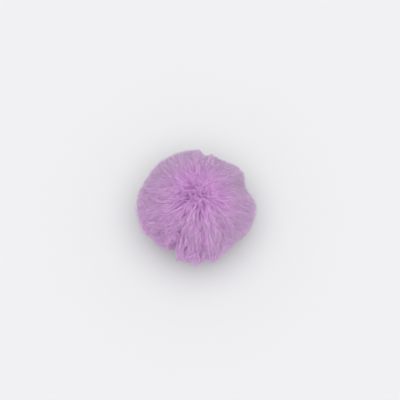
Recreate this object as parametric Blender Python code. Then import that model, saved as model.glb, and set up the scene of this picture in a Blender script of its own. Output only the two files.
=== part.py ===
"""A pom pom of long lilac pile, lying on a table: locks of pile that stand out from one round backing.

Metres, +Z up. The origin is the middle of the flat spot that the pom pom rests on.
"""

import math
import random
from collections import namedtuple

import bmesh
import bpy
from mathutils import Quaternion, Vector, noise

NAME = "pom_pom"

# The ball: the ends of its longest locks lie on a slightly squashed ball, cut off by the table.
ACROSS = 0.081
FRONT_TO_BACK = 0.0795
UP_AND_DOWN = 0.067
MIDDLE = Vector((0, 0, 0.031))
BACKING_SHARE = 0.46

# The crown, from which the pile leans away on all sides, is a little off the top, in a slight hollow.
CROWN = Vector((0.05, 0.11, 1.0)).normalized()
CROWN_EAST = Vector((0, 1, 0)).cross(CROWN).normalized()
CROWN_NORTH = CROWN.cross(CROWN_EAST)
HOLLOW_HALF_WIDTH = 22
HOLLOW_DEPTH = 0.05
LEAN = math.radians(20)
LEAN_EASE = 1.5

# The locks: one for each cell of a ball made from a cube. Shifts and widths are shares of a unit ball
# or of a cell.
CELLS_ALONG_SIDE = 7
CELL_SHIFT = 0.045
WARP = 0.11
WARP_SCALE = 1.7
WARP_PLACE = Vector((3.1, 7.4, 1.9))
LOCK_SEED = 4
SHORTEST_LOCK = 0.94
DRIFT = 0.020
DRIFT_EASE = 3
END_WIDTH = 0.34
FOOT_WIDTH = 0.68

Section = namedtuple("Section", "along width")
ROOTS_AND_MIDDLE = (
    Section(along=0.00, width=0.82),
    Section(along=0.45, width=0.80),
    Section(along=0.85, width=0.70),
)

# Where the ball's outline dips, seen from above. Azimuths are counted from +X towards +Y.
Dip = namedtuple("Dip", "azimuth half_width depth")
DIPS = (
    Dip(azimuth=24, half_width=20, depth=0.0034),
    Dip(azimuth=75, half_width=17, depth=0.0038),
    Dip(azimuth=140, half_width=12, depth=0.0010),
    Dip(azimuth=237, half_width=14, depth=0.0044),
    Dip(azimuth=313, half_width=26, depth=0.0014),
)

# Where the pile parts, in degrees about the crown. The locks beside a parting are drawn off it by its
# opening, a share of a unit ball, and are shorter by its depth, a share of their length.
Parting = namedtuple("Parting", "azimuth start end half_width opening depth")
PARTINGS = (
    Parting(azimuth=143, start=8, end=44, half_width=11, opening=0.040, depth=0.03),
    Parting(azimuth=82, start=36, end=74, half_width=9, opening=0.030, depth=0.02),
    Parting(azimuth=241, start=50, end=96, half_width=11, opening=0.045, depth=0.04),
    Parting(azimuth=282, start=44, end=76, half_width=9, opening=0.035, depth=0.03),
)

PILE_COLOUR = (0.50, 0.27, 0.54, 1.0)
PILE_ROUGHNESS = 0.95

Lock = namedtuple("Lock", "way drift length end_width")


def clear_scene():
    for thing in list(bpy.data.objects):
        bpy.data.objects.remove(thing, do_unlink=True)


def pile_material():
    """Soft matt lilac pile."""
    material = bpy.data.materials.new("lilac_pile")
    material.use_nodes = True
    shader = material.node_tree.nodes["Principled BSDF"]
    shader.inputs["Base Color"].default_value = PILE_COLOUR
    shader.inputs["Roughness"].default_value = PILE_ROUGHNESS
    shader.inputs["Metallic"].default_value = 0.0
    material.diffuse_color = PILE_COLOUR
    return material


def dip_at(way):
    """How far the outline dips this way, which is all of it at the sides and none at the top."""
    azimuth = math.degrees(math.atan2(way.y, way.x))
    depth = 0.0
    for dip in DIPS:
        off = abs((azimuth - dip.azimuth + 180) % 360 - 180)
        if off < dip.half_width:
            depth += dip.depth * math.cos(math.pi / 2 * off / dip.half_width) ** 2
    return depth * (1 - way.z**2)


def free_reach(way):
    """From the ball's middle to the ends of its pile, as if there were no table."""
    return 0.5 / math.hypot(way.x / ACROSS, way.y / FRONT_TO_BACK, way.z / UP_AND_DOWN)


def floor_reach(way):
    """From the ball's middle to the table."""
    return MIDDLE.z / -way.z if way.z < 0 else math.inf


def hollow_at(way):
    """By what share the pile is shorter in the hollow at the crown."""
    off = math.degrees(way.angle(CROWN)) / HOLLOW_HALF_WIDTH
    return HOLLOW_DEPTH * math.cos(math.pi / 2 * min(off, 1)) ** 2


def parted(way):
    """How far a lock is drawn off the partings beside it, and by what share it is shorter for them."""
    azimuth = math.degrees(math.atan2(way.dot(CROWN_NORTH), way.dot(CROWN_EAST)))
    distance = way.angle(CROWN)
    shift, shorter = Vector(), 0.0
    for parting in PARTINGS:
        off = ((azimuth - parting.azimuth + 180) % 360 - 180) * math.sin(distance)
        near = 1 - abs(off) / parting.half_width
        if near > 0 and parting.start < math.degrees(distance) < parting.end:
            shift += parting.opening * near * math.copysign(1, off) * CROWN.cross(way).normalized()
            shorter += parting.depth * near
    return shift, shorter


def leaning(way, along):
    """Which way pile that ends this way lies, at a share of its length. It starts nearer the crown."""
    lean = LEAN * math.sin(way.angle(CROWN)) * (along**LEAN_EASE - 1)
    return Quaternion(CROWN.cross(way), lean) @ way


def pile_point(way, along, length=1.0):
    """The point at this share of a lock's length, where length is a share of its full reach."""
    way = leaning(way, along)
    root = BACKING_SHARE * free_reach(way)
    end = min(length * (free_reach(way) - dip_at(way)), floor_reach(way))
    return MIDDLE + way * (root + along * (end - root))


def random_vector(draw, size):
    return Vector(draw.uniform(-size, size) for _ in range(3))


def cell_ball(draw):
    """A ball of radius 1 in four-sided cells, warped and shifted so that they stand in no rows."""
    ball = bmesh.new()
    bmesh.ops.create_cube(ball, size=2.0)
    bmesh.ops.subdivide_edges(ball, edges=ball.edges[:], cuts=CELLS_ALONG_SIDE - 1, use_grid_fill=True)
    for corner in ball.verts:
        even = Vector(math.tan(side * math.pi / 4) for side in corner.co).normalized()
        warp = noise.noise_vector(even * WARP_SCALE + WARP_PLACE) * WARP * (1 + even.z)
        corner.co = (even + warp + random_vector(draw, CELL_SHIFT)).normalized()
    return ball


def lock_on(cell, draw):
    """Locks end in a blunt point, but those that the pom pom rests on end in a wide level foot."""
    way = cell.calc_center_median().normalized()
    drift, length = random_vector(draw, DRIFT), draw.uniform(SHORTEST_LOCK, 1.0)
    if floor_reach(way) < free_reach(way):
        return Lock(way, drift, 1.0, FOOT_WIDTH)
    shift, shorter = parted(way)
    return Lock(way, drift + shift, length - shorter - hollow_at(way), END_WIDTH)


def grow_locks(ball, draw):
    """Pulls a lock out of each cell, section by section. The locks part where they leave the backing."""
    corner_way = ball.verts.layers.float_vector.new("corner_way")
    lock_number = ball.faces.layers.int.new("lock_number")
    for corner in ball.verts:
        corner[corner_way] = corner.co
    locks = []
    for number, cell in enumerate(ball.faces):
        cell[lock_number] = number
        locks.append(lock_on(cell, draw))
    for corner in ball.verts:
        corner.co = pile_point(corner[corner_way], 0.0)
    ends = ball.faces[:]
    for section in (*ROOTS_AND_MIDDLE, None):
        ends = bmesh.ops.extrude_discrete_faces(ball, faces=ends)["faces"]
        for end in ends:
            lock = locks[end[lock_number]]
            along, width = section or (1.0, lock.end_width)
            for corner in end.verts:
                way = lock.way.lerp(corner[corner_way], width) + lock.drift * along**DRIFT_EASE
                corner.co = pile_point(way.normalized(), along, lock.length)


def make_pom_pom(collection):
    """The whole pom pom: one backing with all its locks."""
    draw = random.Random(LOCK_SEED)
    noise.seed_set(LOCK_SEED)
    ball = cell_ball(draw)
    grow_locks(ball, draw)
    bmesh.ops.triangulate(ball, faces=ball.faces[:])
    mesh = bpy.data.meshes.new(NAME)
    ball.to_mesh(mesh)
    ball.free()
    mesh.materials.append(pile_material())
    collection.objects.link(bpy.data.objects.new(NAME, mesh))


def main():
    clear_scene()
    collection = bpy.data.collections.new("Pom pom")
    bpy.context.scene.collection.children.link(collection)
    make_pom_pom(collection)


main()
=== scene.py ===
"""The looks of the pom pom: long lilac pile of fine fibres in locks, round a dense undercoat.

Metres, +Z up, in the frame of the solids. The pile leans away from a crown near the top.
"""

import math
from collections import namedtuple

import bmesh
import bpy
import numpy as np
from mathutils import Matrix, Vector, noise


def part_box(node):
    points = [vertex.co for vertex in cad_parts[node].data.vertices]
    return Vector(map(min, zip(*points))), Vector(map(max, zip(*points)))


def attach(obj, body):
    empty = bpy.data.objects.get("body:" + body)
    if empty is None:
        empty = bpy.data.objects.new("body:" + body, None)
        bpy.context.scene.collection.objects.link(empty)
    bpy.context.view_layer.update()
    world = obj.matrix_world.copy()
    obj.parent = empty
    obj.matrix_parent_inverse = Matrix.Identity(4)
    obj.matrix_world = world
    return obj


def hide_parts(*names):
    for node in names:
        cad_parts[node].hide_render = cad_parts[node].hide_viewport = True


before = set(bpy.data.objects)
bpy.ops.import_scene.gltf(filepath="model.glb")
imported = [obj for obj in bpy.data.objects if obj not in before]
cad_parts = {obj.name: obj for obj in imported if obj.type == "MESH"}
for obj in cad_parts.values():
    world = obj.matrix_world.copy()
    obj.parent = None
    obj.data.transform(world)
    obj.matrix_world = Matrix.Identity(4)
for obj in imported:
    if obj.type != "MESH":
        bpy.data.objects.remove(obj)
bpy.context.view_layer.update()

NODE = "pom_pom"
BODY = "root"


def unit(vectors):
    return vectors / np.linalg.norm(vectors, axis=-1, keepdims=True)


# The ball that the pile's ends lie on, a little larger than the solid's own box. Its middle is below half
# its height, because the table cuts its foot off.
LARGER_THAN_SOLID = (1.04, 1.04, 1.065)
LOW, HIGH = (np.array(corner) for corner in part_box(NODE))
REACH = (HIGH - LOW) / 2 * LARGER_THAN_SOLID
MIDDLE = np.array((0.0, 0.0, HIGH[2] - REACH[2]))

# The pile below the middle is a little longer. What would pass through the floor lies on it instead, in a
# layer this far above it and this deep, pushed outwards by a share of how far it was under.
DOWNWARD_STRETCH = 1.05
FLOOR_GAP = 0.0003
FLOOR_DEPTH = 0.0015
SPLAY = 0.5
NEVER_ZERO = 1e-9

# The crown, from which the pile leans away on all sides, and two directions across it.
CROWN = unit(np.array((0.05, 0.11, 1.0)))
CROWN_EAST = unit(np.cross((0.0, 1.0, 0.0), CROWN))
CROWN_NORTH = np.cross(CROWN, CROWN_EAST)

# Where the outline dips, seen from above. Azimuths are counted from +X towards +Y.
Dip = namedtuple("Dip", "azimuth half_width depth")
DIPS = (
    Dip(azimuth=20, half_width=19, depth=0.0046),
    Dip(azimuth=62, half_width=26, depth=0.0028),
    Dip(azimuth=80, half_width=7, depth=0.0034),
    Dip(azimuth=150, half_width=20, depth=0.0012),
    Dip(azimuth=228, half_width=34, depth=0.0038),
    Dip(azimuth=242, half_width=8, depth=0.0054),
    Dip(azimuth=258, half_width=14, depth=0.0012),
    Dip(azimuth=279, half_width=8, depth=0.0024),
    Dip(azimuth=309, half_width=30, depth=0.0034),
    Dip(azimuth=326, half_width=34, depth=0.0012),
)

# Where the pile parts: azimuths and distances about the crown, in degrees. The opening and the depth are
# shares of the ball's reach. A parting tapers to its ends by a power of a sine, and the pile in it is
# darkened with painted shade, for the shade down in the parting, by this many times the depth.
Parting = namedtuple("Parting", "azimuth start end half_width opening depth")
PARTINGS = (
    Parting(azimuth=143, start=6, end=40, half_width=3.5, opening=0.018, depth=0.10),
    Parting(azimuth=82, start=34, end=70, half_width=3.0, opening=0.010, depth=0.05),
    Parting(azimuth=241, start=56, end=95, half_width=5.0, opening=0.028, depth=0.10),
    Parting(azimuth=280, start=46, end=70, half_width=4.5, opening=0.022, depth=0.14),
    Parting(azimuth=196, start=10, end=30, half_width=2.5, opening=0.010, depth=0.06),
)
PARTING_TAPER = 0.5
PARTED_PAINTED_SHADE = 6.0

# The fibres. Shares are of the ball's reach, and sizes across it are seen from its middle. Flyaways are a
# share of the fibres, and they stand out from the rest.
SEED = 11
FIBRES = 60500
PIECES = 5
TIP_SCATTER = 0.004
ROOT_SHARE = 0.74
FIBRE_RADIUS = 0.00011
SHORTEST = 0.965
SHORTEST_AT_RIM = 0.955
LONGEST = 1.005
FLYAWAYS = 0.035
FLYAWAY_REACH = 1.030

# How far a fibre's tip lies from its root, round the ball, by how far it is from the crown, in degrees.
# Some patches lean more than others, between these two shares of it.
Lean = namedtuple("Lean", "from_crown lean")
LEANS = (
    Lean(from_crown=0, lean=14),
    Lean(from_crown=20, lean=15),
    Lean(from_crown=32, lean=22),
    Lean(from_crown=45, lean=27),
    Lean(from_crown=62, lean=26),
    Lean(from_crown=90, lean=11),
    Lean(from_crown=125, lean=5),
    Lean(from_crown=180, lean=0),
)
LEAST_AND_MOST_LEAN = (0.4, 1.6)

# How wide the crown is, and between which distances from it the pile turns into that of the rim.
CROWN_SIZE = math.radians(18)
RIM_FROM = (math.radians(25), math.radians(72))

# Where the pile is tousled, in short locks that lie across each other: the crown, and a patch on one side.
# A place fades out between two shares of its size. Its locks swing round more and gather harder, across
# and along them, and its pile is a little longer and thinner.
Tousle = namedtuple("Tousle", "azimuth from_crown size share turn")
TOUSLES = (
    Tousle(azimuth=180, from_crown=3, size=12, share=1.0, turn=0),
    Tousle(azimuth=180, from_crown=14, size=9, share=0.9, turn=0),
    Tousle(azimuth=0, from_crown=10, size=10, share=0.9, turn=0),
    Tousle(azimuth=243, from_crown=71, size=12, share=0.2, turn=-22),
)
TOUSLE_FADES = (0.6, 1.4)
TOUSLED_SWING = math.radians(85)
TOUSLED_STRENGTH = 2.4
TOUSLED_GATHERING = 0.20
TOUSLED_RISE = 0.010
TOUSLED_THINNING = 0.10

# A share of the fibres at the crown stay low, under the locks, and are darkened with painted shade, for the
# shade that falls there.
LOW_SHARE = 0.30
LOW_DEPTH = 0.040
LOW_PAINTED_SHADE = 0.18

# How strongly the pile gathers, by azimuth about the crown in degrees. At the rim it is a share of that.
Strength = namedtuple("Strength", "azimuth strength")
STRENGTHS = (
    Strength(azimuth=0, strength=0.35),
    Strength(azimuth=90, strength=0.55),
    Strength(azimuth=180, strength=0.50),
    Strength(azimuth=225, strength=1.90),
    Strength(azimuth=270, strength=2.40),
    Strength(azimuth=315, strength=1.80),
)
RIM_STRENGTH = 0.25
MOST_GATHERED = 2.1

# Towards the rim the patches turn and differ in height more. Locks and strands that are longer by this
# many spreads stand out as small spikes, and the tips of all are drawn together more.
RIM_SWING = math.radians(9)
RIM_UNEVENNESS = 0.75
UNEVEN_FROM = (math.radians(76), math.radians(96))
SPIKY_FROM = (math.radians(62), math.radians(80))
SPIKY_LIFT = 0.9
SPIKE_GATHERING = 1.0

# Fibres gather in fine strands, these in long narrow locks, and these in tufts. Stretch is length over
# width. Pull is the share of the way to the middle line that a tip is drawn. The pile is shorter by groove
# at the edges and longer by rise at the far end, and the edge shade is how much darker it is painted at the
# edges, a painted shade for the shade between locks.
# Spike is how far the longest stand out at the rim. Lift, lean, tint and swing, which is in degrees, are
# spreads between one and the next.
Kind = namedtuple(
    "Kind",
    "count stretch tousled_stretch pull groove edge_tint rise spike lift lean tint swing",
)
TUFTS = Kind(
    count=200,
    stretch=4,
    tousled_stretch=2,
    pull=0.10,
    groove=0.010,
    edge_tint=0.0,
    rise=0.004,
    spike=0.0,
    lift=0.006,
    lean=0.12,
    tint=0.06,
    swing=6,
)
LOCKS = Kind(
    count=1900,
    stretch=12,
    tousled_stretch=3,
    pull=0.40,
    groove=0.028,
    edge_tint=0.32,
    rise=0.008,
    spike=0.034,
    lift=0.009,
    lean=0.12,
    tint=0.10,
    swing=5,
)
STRANDS = Kind(
    count=5500,
    stretch=16,
    tousled_stretch=7,
    pull=0.35,
    groove=0.009,
    edge_tint=0.14,
    rise=0.0,
    spike=0.034,
    lift=0.003,
    lean=0.03,
    tint=0.11,
    swing=4,
)

# A share of the fibres in the tousled places gather in locks of another layer, which lie across the rest.
CROSSING = Kind(
    count=600,
    stretch=5,
    tousled_stretch=5,
    pull=0.45,
    groove=0.024,
    edge_tint=0.34,
    rise=0.004,
    spike=0.034,
    lift=0.010,
    lean=0.20,
    tint=0.09,
    swing=60,
)
CROSSING_SHARE = 0.5

# Patches are scattered by a share of their distance apart, and crowd together at the crown. The oddest one
# is this many spreads from the middle. Their painted shade at the edges grows by a power of how far out a
# fibre is. Fibres are looked up so many at once, which spares memory.
PATCH_SCATTER = 0.5
CROWN_CROWDING = 0.50
ODDEST = 1.6
EDGE_SHARPNESS = 6
LOOKED_UP_AT_ONCE = 4000

# The fibres of a lock wave together, less at the rim. Each also differs a little by itself.
WAVE = 0.0065
WAVE_LENGTH = math.radians(20)
RIM_WAVE = 0.4
FIBRE_SPREAD = 0.012
FIBRE_SWING = 0.10
FIBRE_TINT = 0.05

# How light the pile is, from 0 to 1, by how far it is from the crown, in degrees. It is darker round
# the crown, a painted shade for looking down between the upright fibres.
Tint = namedtuple("Tint", "from_crown tint")
TINTS = (
    Tint(from_crown=0, tint=0.56),
    Tint(from_crown=12, tint=0.56),
    Tint(from_crown=24, tint=0.51),
    Tint(from_crown=36, tint=0.63),
    Tint(from_crown=48, tint=0.80),
    Tint(from_crown=75, tint=0.96),
    Tint(from_crown=180, tint=0.96),
)

# The pile is painted paler towards the rim on one side of the ball, at this azimuth about the crown: a
# painted light, as if more light fell on that side.
PAINTED_LIGHT_SIDE = math.radians(65)
PAINTED_LIGHT_AMOUNT = 0.15

# Sections of a fibre: share of its height, share of the lean taken up, and share of its full thickness.
# A triangle closes its root, so it has three sides.
Section = namedtuple("Section", "along leaned thick")
SECTIONS = (
    Section(along=0.00, leaned=0.00, thick=1.0),
    Section(along=0.50, leaned=0.28, thick=1.0),
    Section(along=0.84, leaned=0.64, thick=0.85),
    Section(along=1.00, leaned=1.00, thick=0.0),
)
SIDES = 3

# How a fibre lies in its texture: each tint has a strip, up which the fibre runs, with a margin round it.
# The triangle at its root takes a sliver at the foot.
LAY = "OFBake"
TINT_STRIPS = 256
STRIP_MARGIN = 0.1
LAY_MARGIN = 0.005
ROOT_SLIVER = 0.01

# The colours along a fibre, from root to tip, and those by which its tint multiplies them. The darker
# roots are painted shade, deep in the pile, and the paler tips a painted sheen.
Stop = namedtuple("Stop", "place colour")
PILE_SHADES = (
    Stop(place=0.00, colour=(0.60, 0.19, 0.63)),
    Stop(place=0.50, colour=(0.90, 0.46, 0.93)),
    Stop(place=0.80, colour=(0.98, 0.77, 1.00)),
    Stop(place=1.00, colour=(0.99, 0.92, 1.00)),
)
PILE_TINTS = (
    Stop(place=0.0, colour=(0.64, 0.38, 0.66)),
    Stop(place=0.5, colour=(0.95, 0.71, 0.95)),
    Stop(place=0.8, colour=(0.99, 0.86, 0.99)),
    Stop(place=1.0, colour=(1.00, 0.96, 1.00)),
)
PILE_ROUGHNESS = 0.75
PILE_SPECULAR = 0.12
LIGHT_LET_THROUGH = 0.35

# The undercoat: a bumpy ball over the roots, mottled finely, kept clear of the floor. Its deep colour is
# partly painted shade, for the shade between the roots.
UNDERCOAT_SUBDIVISIONS = 5
UNDERCOAT_SHARE = ROOT_SHARE + 0.035
UNDERCOAT_BUMP = 0.02
BUMPS_PER_REACH = 30
UNDERCOAT_FOOT = 0.002
UNDERCOAT_SHADES = (
    Stop(place=0.35, colour=(0.58, 0.20, 0.60)),
    Stop(place=0.65, colour=(0.74, 0.33, 0.76)),
)
MOTTLES_PER_METRE = 900.0
MOTTLE_DETAIL = 3.0
UNDERCOAT_ROUGHNESS = 0.95

# The floor, and the light: a pale sky all round, and a broad soft sun nearly overhead.
FLOOR_SIZE = 40.0
FLOOR_COLOUR = (0.505, 0.505, 0.51, 1.0)
FLOOR_ROUGHNESS = 0.9
FLOOR_SPECULAR = 0.1
SKY = (0.90, 0.90, 0.92, 1.0)
SUN_STRENGTH = 2.65
SUN_ANGLE = math.radians(70)
SUN_FROM = Vector((0.03, -0.03, 1.0))

# The camera: where the pom pom's middle lies in the photograph and how wide it is there, in pixels. Its
# pile looks solid out to a share of the reach, and past that it is fuzz.
PHOTO_SIDE = 400
PHOTO_MIDDLE = (196.5, 207.5)
PHOTO_WIDTH = 118.0
OUTLINE_SHARE = 0.972
ELEVATION = math.radians(78)
CAMERA_DISTANCE = 0.75
SENSOR = 36.0
CLIP_START = 0.01

# How far apart the nodes of a material are drawn, and the colour sockets of a Mix node, which share names.
NODE_SPACING = (250, 300)
MIX_A, MIX_B, MIX_RESULT = 6, 7, 2


def eased(value, low, high):
    """0 below low and 1 above high, with a smooth step between."""
    share = np.clip((value - low) / (high - low), 0, 1)
    return share * share * (3 - 2 * share)


def free_reach(ways):
    """From the ball's middle to the ends of its pile, as if there were no table."""
    stretch = np.where(ways[..., 2:] < 0, (1.0, 1.0, DOWNWARD_STRETCH), 1.0)
    return 1 / np.linalg.norm(ways / (REACH * stretch), axis=-1)


def dip_at(ways):
    """How far the outline dips this way: all of it at the sides and none at the top."""
    azimuth = np.degrees(np.arctan2(ways[..., 1], ways[..., 0]))
    depth = np.zeros(ways.shape[:-1])
    for dip in DIPS:
        off = np.abs((azimuth - dip.azimuth + 180) % 360 - 180)
        depth += dip.depth * np.cos(np.pi / 2 * np.minimum(off / dip.half_width, 1)) ** 2
    return depth * (1 - ways[..., 2] ** 2)


def from_crown(ways):
    return np.arccos(np.clip(ways @ CROWN, -1, 1))


def azimuth_of(ways):
    """Azimuths about the crown."""
    return np.arctan2(ways @ CROWN_NORTH, ways @ CROWN_EAST)


def by_distance(table, ways):
    """A table's value for each way, by how far it is from the crown."""
    return np.interp(np.degrees(from_crown(ways)), *zip(*table))


def near_crown(ways):
    """1 at the crown, fading to 0 round it."""
    return np.exp(-((from_crown(ways) / CROWN_SIZE) ** 2))


def near_rim(ways):
    """0 round the crown and 1 at the ball's sides and under it."""
    return eased(from_crown(ways), *RIM_FROM)


def within(tousle, ways):
    """1 in the middle of a tousled place, fading to 0 round it."""
    polar, azimuth = math.radians(tousle.from_crown), math.radians(tousle.azimuth)
    middle = math.cos(azimuth) * CROWN_EAST + math.sin(azimuth) * CROWN_NORTH
    middle = math.cos(polar) * CROWN + math.sin(polar) * middle
    off = np.arccos(np.clip(ways @ middle, -1, 1)) / math.radians(tousle.size)
    return 1 - eased(off, *TOUSLE_FADES)


def tousled(ways):
    """How tousled the pile is, from 0 to 1."""
    return np.max([tousle.share * within(tousle, ways) for tousle in TOUSLES], axis=0)


def swept(ways):
    """How far the locks in the tousled places are swept to one side."""
    return np.sum([math.radians(tousle.turn) * within(tousle, ways) for tousle in TOUSLES], axis=0)


def strength_at(ways):
    """How strongly the pile gathers here: less towards the sides of the ball."""
    azimuth = np.degrees(azimuth_of(ways))
    strength = np.interp(azimuth, *zip(*STRENGTHS), period=360)
    strength *= 1 - (1 - RIM_STRENGTH) * near_rim(ways)
    return strength + (TOUSLED_STRENGTH - strength) * tousled(ways)


def tangents(ways):
    """Two directions across each way: away from the crown, and round it."""
    away = unit((ways @ CROWN)[:, None] * ways - CROWN)
    return away, np.cross(ways, away)


def turned(ways, towards, angles):
    """Ways turned by these angles towards directions that lie across them."""
    return np.cos(angles)[:, None] * ways + np.sin(angles)[:, None] * towards


def even_ways(count):
    """Directions spread evenly round a ball, each turned from the last by the golden angle."""
    number = np.arange(count) + 0.5
    height = 1 - 2 * number / count
    turn = number * math.pi * (3 - math.sqrt(5))
    flat = np.sqrt(1 - height**2)
    return np.stack([flat * np.cos(turn), flat * np.sin(turn), height], 1)


class Gathers:
    """Long patches of the ball, each of which gathers the pile that ends in it along its own axis."""

    def __init__(self, kind, draw, parents=None):
        self.kind = kind
        scatter = draw.normal(0, PATCH_SCATTER, (kind.count, 3)) / kind.count**0.5
        middles = unit(even_ways(kind.count) + scatter)
        crowded = CROWN_CROWDING * near_crown(middles)
        self.middles = turned(middles, -tangents(middles)[0], from_crown(middles) * crowded)
        away, around = tangents(self.middles)
        loose = math.radians(kind.swing) + TOUSLED_SWING * tousled(self.middles)
        loose = loose + RIM_SWING * near_rim(self.middles)
        self.swing = loose * draw.normal(0, 1, kind.count)
        if parents is None:
            self.swing += swept(self.middles)
        else:
            self.swing += parents.swing[parents.nearest(self.middles)]
        self.axes = np.cos(self.swing)[:, None] * away + np.sin(self.swing)[:, None] * around
        self.across = np.cross(self.middles, self.axes)
        stretch = kind.stretch + (kind.tousled_stretch - kind.stretch) * tousled(self.middles)
        self.half_width = np.sqrt(math.pi / kind.count / stretch) * (1 - crowded)
        self.half_length = self.half_width * stretch
        spreads = np.array([[kind.lift], [kind.lean], [kind.tint]])
        odd = np.clip(draw.normal(0, 1, (3, kind.count)), -ODDEST, ODDEST)
        self.lift, self.lean, self.tint = spreads * odd

    def nearest(self, ways):
        """Which patch each way falls in."""
        found = []
        for some in np.array_split(ways, 1 + len(ways) // LOOKED_UP_AT_ONCE):
            off = (some @ self.axes.T / self.half_length) ** 2
            off += (some @ self.across.T / self.half_width) ** 2
            off += ((some @ self.middles.T - 1) / self.half_width) ** 2
            found.append(np.argmin(off, axis=1))
        return np.concatenate(found)

    def place(self, ways, found):
        """How far each way lies to the side of its patch's axis, and along it, where 1 is the edge."""
        side = np.einsum("ij,ij->i", ways, self.across[found]) / self.half_width[found]
        along = np.einsum("ij,ij->i", ways, self.axes[found]) / self.half_length[found]
        return np.clip(side, -1, 1), np.clip(along, -1, 1)


def drawn_from_partings(ways):
    """Draws the pile back from the partings, and gives the depth by which it is shorter beside them and
    darkened there with painted shade.
    """
    polar = from_crown(ways)
    azimuth = azimuth_of(ways)
    around = tangents(ways)[1]
    shift, depth = np.zeros(len(ways)), np.zeros(len(ways))
    for parting in PARTINGS:
        off = np.sin(polar) * np.sin(azimuth - math.radians(parting.azimuth))
        ahead = np.cos(azimuth - math.radians(parting.azimuth)) > 0
        near = np.clip(1 - np.abs(off) / math.radians(parting.half_width), 0, 1) * ahead
        share = (np.degrees(polar) - parting.start) / (parting.end - parting.start)
        near = near * np.sin(math.pi * np.clip(share, 0, 1)) ** PARTING_TAPER
        shift += parting.opening * near * np.sign(off)
        depth += parting.depth * near**2
    return unit(ways + shift[:, None] * around), depth


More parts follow.
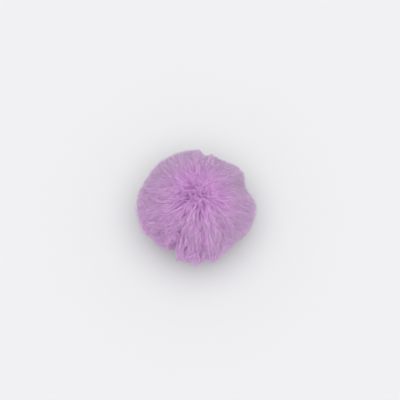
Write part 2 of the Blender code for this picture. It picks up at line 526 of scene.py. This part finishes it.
class Pile:
    """All the fibres. Tips are the ways in which they end, and lengths are shares of the ball's reach."""

    def __init__(self, draw):
        tips = unit(even_ways(FIBRES) + draw.normal(0, TIP_SCATTER, (FIBRES, 3)))
        tips = tips[draw.random(FIBRES) > TOUSLED_THINNING * tousled(tips)]
        count = len(tips)
        self.tips = tips
        self.ungathered = tips
        self.stray = draw.random(count) < FLYAWAYS
        self.low = draw.random(count) < LOW_SHARE * near_crown(tips)
        self.loose = self.stray | self.low
        self.strength = np.where(self.loose, 0, strength_at(tips))
        self.gathered = np.minimum(self.strength, MOST_GATHERED)
        self.uneven = self.strength + RIM_UNEVENNESS * eased(from_crown(tips), *UNEVEN_FROM)
        self.spiky = np.where(self.loose, 0, eased(from_crown(tips), *SPIKY_FROM))
        shortest = SHORTEST + (SHORTEST_AT_RIM - SHORTEST) * near_rim(tips)
        self.length = LONGEST - (LONGEST - shortest) * draw.random(count)
        self.lean = np.ones(count)
        # Painted shade darkens the pile round the crown, by the table, and each fibre differs in tone at
        # random.
        self.tint = by_distance(TINTS, tips) + FIBRE_TINT * draw.normal(0, 1, count)
        # Painted light: paler towards the rim on the side that the light falls from.
        self.tint += PAINTED_LIGHT_AMOUNT * near_rim(tips) * np.cos(azimuth_of(tips) - PAINTED_LIGHT_SIDE)
        self.axes = np.zeros((count, 3))
        self.crossing = draw.random(count) < CROSSING_SHARE * tousled(tips)

    def gather(self, gathers, mine):
        """Draws the fibres that are mine together in these patches, and returns which patch each is in."""
        kind = gathers.kind
        found = gathers.nearest(self.tips)
        side, along = gathers.place(self.tips, found)
        drawn = self.gathered + SPIKE_GATHERING * self.spiky
        pull = mine * kind.pull * drawn * side * gathers.half_width[found]
        inwards = np.where(self.loose, 0, TOUSLED_GATHERING * tousled(self.tips))
        inwards = mine * (inwards * along * gathers.half_length[found])
        tips = self.tips - pull[:, None] * gathers.across[found] - inwards[:, None] * gathers.axes[found]
        self.tips = unit(tips)
        heights = self.uneven * gathers.lift[found]
        heights = heights + self.strength * (kind.rise * along - kind.groove * side**2)
        longest = np.maximum(gathers.lift[found] / kind.lift - SPIKY_LIFT, 0)
        heights += kind.spike * self.spiky * longest * (1 - side**2) * (1 - along**2)
        self.length += mine * heights
        self.lean += mine * np.minimum(self.uneven, 1) * gathers.lean[found]
        # Each lock's random tone, less painted shade at its edges, where shade falls between locks.
        self.tint += mine * self.gathered * (gathers.tint[found] - kind.edge_tint * side**EDGE_SHARPNESS)
        self.axes = np.where(np.reshape(mine, (-1, 1)), gathers.axes[found], self.axes)
        return found

    def open_partings(self, draw):
        """Parts the pile, sets how far the low fibres, the tousled ones and the flyaways reach, and darkens
        the low and the parted pile with painted shade.
        """
        self.tips, parted = drawn_from_partings(self.tips)
        held = tousled(self.tips)
        self.length += np.where(self.low, -LOW_DEPTH, TOUSLED_RISE * held) - parted
        flyaway = 1 + (FLYAWAY_REACH - 1) * draw.random(len(self.tips))
        self.length = np.where(self.stray, flyaway, self.length)
        # Painted shade darkens the low fibres under the locks and the pile in the partings.
        self.tint -= LOW_PAINTED_SHADE * self.low + PARTED_PAINTED_SHADE * parted

    def roots_and_across(self, draw):
        """Where the fibres are rooted, and the directions across them. Tousled locks have roots together."""
        roots = drawn_from_partings(self.ungathered)[0]
        roots = unit(roots + tousled(self.tips)[:, None] * (self.tips - roots))
        lean = np.radians(by_distance(LEANS, self.tips)) * np.clip(self.lean, *LEAST_AND_MOST_LEAN)
        swing = FIBRE_SWING * draw.normal(0, 1, len(roots))
        axes = unit(self.axes - np.einsum("ij,ij->i", self.axes, self.tips)[:, None] * self.tips)
        across = np.cross(self.tips, axes)
        axes = turned(axes, across, swing)
        spread = FIBRE_SPREAD * draw.normal(0, 1, roots.shape)
        return unit(roots - np.tan(lean)[:, None] * axes + spread), across

    def lines(self, draw, lock):
        """The fibres' centre lines, section by section, where lock is the number of each fibre's lock."""
        roots, across = self.roots_and_across(draw)
        phase = 2 * math.pi * draw.random(LOCKS.count)[lock]
        lines = []
        for section in SECTIONS:
            ways = unit(roots + (self.tips - roots) * section.leaned)
            wave = np.sin(phase + 2 * math.pi * from_crown(ways) / WAVE_LENGTH)
            wave *= WAVE * section.leaned * (1 - (1 - RIM_WAVE) * near_rim(ways))
            ways = unit(ways + wave[:, None] * across)
            full = free_reach(ways) - dip_at(ways)
            start, end = ROOT_SHARE * full, self.length * full
            lines.append(MIDDLE + ways * (start + section.along * (end - start))[:, None])
        return rest_on_floor(np.stack(lines, 1), draw)


def rest_on_floor(lines, draw):
    """Fibres that would pass through the floor lie on it instead, pushed outwards."""
    level = FLOOR_GAP + FLOOR_DEPTH * draw.random((len(lines), 1))
    under = np.maximum(level - lines[..., 2], 0)
    outwards = unit(lines[..., :2] - MIDDLE[:2] + NEVER_ZERO)
    lines[..., :2] += SPLAY * under[..., None] * outwards
    lines[..., 2] += under
    return lines


def grow_fibres(draw):
    """Centre lines of all the fibres, section by section, with their tints."""
    tufts = Gathers(TUFTS, draw)
    locks = Gathers(LOCKS, draw, parents=tufts)
    crossers = Gathers(CROSSING, draw)
    strands = Gathers(STRANDS, draw, parents=locks)
    pile = Pile(draw)
    pile.gather(tufts, True)
    lock = pile.gather(locks, ~pile.crossing)
    pile.gather(crossers, pile.crossing)
    pile.gather(strands, ~pile.crossing)
    pile.open_partings(draw)
    return pile.lines(draw, lock), np.clip(pile.tint, 0, 1)


def fibre_faces(rings):
    """The triangles of one fibre, and where each corner lies across and along it."""
    alongs = [section.along for section in SECTIONS]
    tip = rings * SIDES
    faces, across, up = [(2, 1, 0)], [(1.0, 0.5, 0.0)], [(ROOT_SLIVER, 0.0, ROOT_SLIVER)]
    for ring in range(rings):
        for corner in range(SIDES):
            after = (corner + 1) % SIDES
            a, b = ring * SIDES + corner, ring * SIDES + after
            if ring == rings - 1:
                faces.append((a, b, tip))
                across.append((0.0, 1.0, 0.5))
                up.append((alongs[ring], alongs[ring], 1.0))
                continue
            c, d = b + SIDES, a + SIDES
            faces += [(a, b, c), (a, c, d)]
            across += [(0.0, 1.0, 1.0), (0.0, 1.0, 0.0)]
            up += [
                (alongs[ring], alongs[ring], alongs[ring + 1]),
                (alongs[ring], alongs[ring + 1], alongs[ring + 1]),
            ]
    return np.array(faces), np.array(across), np.array(up)


def fibre_points(lines, draw):
    """The corners of each fibre's rings, and then its tip."""
    count, rings = len(lines), len(SECTIONS) - 1
    along = unit(np.gradient(lines, axis=1))
    side = unit(np.cross(along, draw.normal(0, 1, (count, 1, 3))))
    other = np.cross(along, side)
    thick = FIBRE_RADIUS * np.array([section.thick for section in SECTIONS])
    points = []
    for corner in range(SIDES):
        turn = 2 * math.pi * corner / SIDES
        ring = math.cos(turn) * side + math.sin(turn) * other
        points.append(lines + ring * thick[None, :, None])
    rings_at = np.stack(points, 2)[:, :rings].reshape(count, rings * SIDES, 3)
    return np.concatenate([rings_at, lines[:, -1:]], 1)


def fibre_mesh(name, lines, tint, draw):
    """One joined mesh of closed tapering fibres, three sides each, with a point at the tip."""
    points = fibre_points(lines, draw)
    count, per_fibre = points.shape[:2]
    faces, across, up = fibre_faces(len(SECTIONS) - 1)
    corners = (np.arange(count)[:, None, None] * per_fibre + faces[None]).reshape(-1)
    mesh = bpy.data.meshes.new(name)
    mesh.vertices.add(count * per_fibre)
    mesh.vertices.foreach_set("co", points.astype(np.float32).ravel())
    mesh.loops.add(len(corners))
    mesh.loops.foreach_set("vertex_index", corners.astype(np.int32))
    mesh.polygons.add(len(corners) // 3)
    mesh.polygons.foreach_set("loop_start", np.arange(0, len(corners), 3, dtype=np.int32))
    mesh.update(calc_edges=True)
    mesh.polygons.foreach_set("use_smooth", np.ones(len(corners) // 3, dtype=bool))
    lay = mesh.uv_layers.new(name=LAY)
    strip = np.floor(tint * (TINT_STRIPS - 1))
    in_strip = STRIP_MARGIN + (1 - 2 * STRIP_MARGIN) * across.reshape(-1)
    u = (strip[:, None] + in_strip[None]) / TINT_STRIPS
    v = np.broadcast_to(LAY_MARGIN + (1 - 2 * LAY_MARGIN) * up.reshape(-1)[None], u.shape)
    lay.data.foreach_set("uv", np.stack([u, v], -1).astype(np.float32).ravel())
    mesh.validate()
    return mesh


def node(tree, kind, column, row, **values):
    made = tree.nodes.new(kind)
    made.location = (column * NODE_SPACING[0], -row * NODE_SPACING[1])
    for name, value in values.items():
        setattr(made, name, value)
    return made


def ramp_node(tree, column, row, stops):
    made = node(tree, "ShaderNodeValToRGB", column, row)
    elements = made.color_ramp.elements
    while len(elements) < len(stops):
        elements.new(0.5)
    for element, stop in zip(elements, stops):
        element.position = stop.place
        element.color = (*stop.colour, 1.0)
    return made


def pile_material():
    """Lilac fibres, deeper towards the root as painted shade and paler at the tip as painted sheen, no two
    of quite the same tint.
    """
    material = bpy.data.materials.new("lilac_pile")
    material.use_nodes = True
    tree = material.node_tree
    tree.nodes.clear()
    where = node(tree, "ShaderNodeUVMap", 0, 0, uv_map=LAY)
    split = node(tree, "ShaderNodeSeparateXYZ", 1, 0)
    shade = ramp_node(tree, 2, 0, PILE_SHADES)
    tint = ramp_node(tree, 2, 1, PILE_TINTS)
    mixed = node(tree, "ShaderNodeMix", 3, 0, data_type="RGBA", blend_type="MULTIPLY")
    mixed.inputs["Factor"].default_value = 1.0
    surface = node(tree, "ShaderNodeBsdfPrincipled", 4, 0)
    surface.inputs["Roughness"].default_value = PILE_ROUGHNESS
    surface.inputs["Specular IOR Level"].default_value = PILE_SPECULAR
    through = node(tree, "ShaderNodeBsdfTranslucent", 4, 2)
    both = node(tree, "ShaderNodeMixShader", 5, 0)
    both.inputs["Fac"].default_value = LIGHT_LET_THROUGH
    out = node(tree, "ShaderNodeOutputMaterial", 6, 0)
    tree.links.new(where.outputs["UV"], split.inputs[0])
    tree.links.new(split.outputs["Y"], shade.inputs[0])
    tree.links.new(split.outputs["X"], tint.inputs[0])
    tree.links.new(shade.outputs["Color"], mixed.inputs[MIX_A])
    tree.links.new(tint.outputs["Color"], mixed.inputs[MIX_B])
    tree.links.new(mixed.outputs[MIX_RESULT], surface.inputs["Base Color"])
    tree.links.new(mixed.outputs[MIX_RESULT], through.inputs["Color"])
    tree.links.new(surface.outputs[0], both.inputs[1])
    tree.links.new(through.outputs[0], both.inputs[2])
    tree.links.new(both.outputs[0], out.inputs["Surface"])
    return material


def undercoat_material():
    """Lilac down, mottled finely, its deep colour partly painted shade between the roots."""
    material = bpy.data.materials.new("undercoat")
    material.use_nodes = True
    tree = material.node_tree
    where = node(tree, "ShaderNodeTexCoord", -4, 0)
    mottle = node(tree, "ShaderNodeTexNoise", -3, 0)
    mottle.inputs["Scale"].default_value = MOTTLES_PER_METRE
    mottle.inputs["Detail"].default_value = MOTTLE_DETAIL
    shade = ramp_node(tree, -2, 0, UNDERCOAT_SHADES)
    shader = tree.nodes["Principled BSDF"]
    shader.inputs["Roughness"].default_value = UNDERCOAT_ROUGHNESS
    tree.links.new(where.outputs["Object"], mottle.inputs["Vector"])
    tree.links.new(mottle.outputs["Fac"], shade.inputs[0])
    tree.links.new(shade.outputs["Color"], shader.inputs["Base Color"])
    return material


def put_in_scene(name, mesh, material):
    """Puts a piece of the pom pom in the scene, in place of its solid."""
    mesh.materials.append(material)
    obj = bpy.data.objects.new(name, mesh)
    bpy.context.scene.collection.objects.link(obj)
    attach(obj, BODY)
    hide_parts(NODE)


def make_pile(draw, material):
    lines, tint = grow_fibres(draw)
    for piece in range(PIECES):
        mine = slice(piece, None, PIECES)
        name = f"pile_{piece}"
        put_in_scene(name, fibre_mesh(name, lines[mine], tint[mine], draw), material)


def make_undercoat(material):
    """The dense short fibres between the roots, as a bumpy ball that shows only in the partings."""
    ball = bmesh.new()
    bmesh.ops.create_icosphere(ball, subdivisions=UNDERCOAT_SUBDIVISIONS, radius=1.0)
    for vert in ball.verts:
        way = np.array(vert.co.normalized())
        bump = UNDERCOAT_BUMP * noise.noise(Vector(way) * BUMPS_PER_REACH)
        reach = (UNDERCOAT_SHARE + bump) * float(free_reach(way) - dip_at(way))
        vert.co = Vector(MIDDLE + way * reach)
        vert.co.z = max(vert.co.z, UNDERCOAT_FOOT)
    mesh = bpy.data.meshes.new("undercoat")
    ball.to_mesh(mesh)
    ball.free()
    put_in_scene("undercoat", mesh, material)


def make_floor():
    bpy.ops.mesh.primitive_plane_add(size=FLOOR_SIZE)
    floor = bpy.context.object
    floor.name = "floor"
    material = bpy.data.materials.new("pale_floor")
    material.use_nodes = True
    shader = material.node_tree.nodes["Principled BSDF"]
    shader.inputs["Base Color"].default_value = FLOOR_COLOUR
    shader.inputs["Roughness"].default_value = FLOOR_ROUGHNESS
    shader.inputs["Specular IOR Level"].default_value = FLOOR_SPECULAR
    floor.data.materials.append(material)


def light_scene():
    data = bpy.data.lights.new("sun", "SUN")
    data.energy = SUN_STRENGTH
    data.angle = SUN_ANGLE
    sun = bpy.data.objects.new("sun", data)
    sun.rotation_euler = SUN_FROM.to_track_quat("Z", "Y").to_euler()
    bpy.context.scene.collection.objects.link(sun)
    world = bpy.data.worlds.new("studio")
    bpy.context.scene.world = world
    world.use_nodes = True
    world.node_tree.nodes["Background"].inputs["Color"].default_value = SKY
    bpy.context.scene.view_settings.view_transform = "Standard"


def add_camera():
    data = bpy.data.cameras.new("camera")
    camera = bpy.data.objects.new("camera", data)
    bpy.context.scene.collection.objects.link(camera)
    back = Vector((0, -math.cos(ELEVATION), math.sin(ELEVATION)))
    camera.location = Vector(MIDDLE) + back * CAMERA_DISTANCE
    camera.rotation_euler = (-back).to_track_quat("-Z", "Y").to_euler()
    data.sensor_width = SENSOR
    data.sensor_fit = "HORIZONTAL"
    view_width = PHOTO_SIDE / PHOTO_WIDTH * 2 * REACH[0] * OUTLINE_SHARE
    data.lens = SENSOR * CAMERA_DISTANCE / view_width
    data.shift_x = (PHOTO_SIDE / 2 - PHOTO_MIDDLE[0]) / PHOTO_SIDE
    data.shift_y = (PHOTO_MIDDLE[1] - PHOTO_SIDE / 2) / PHOTO_SIDE
    data.clip_start = CLIP_START
    bpy.context.scene.camera = camera


add_camera()
make_pile(np.random.default_rng(SEED), pile_material())
make_undercoat(undercoat_material())
make_floor()
light_scene()
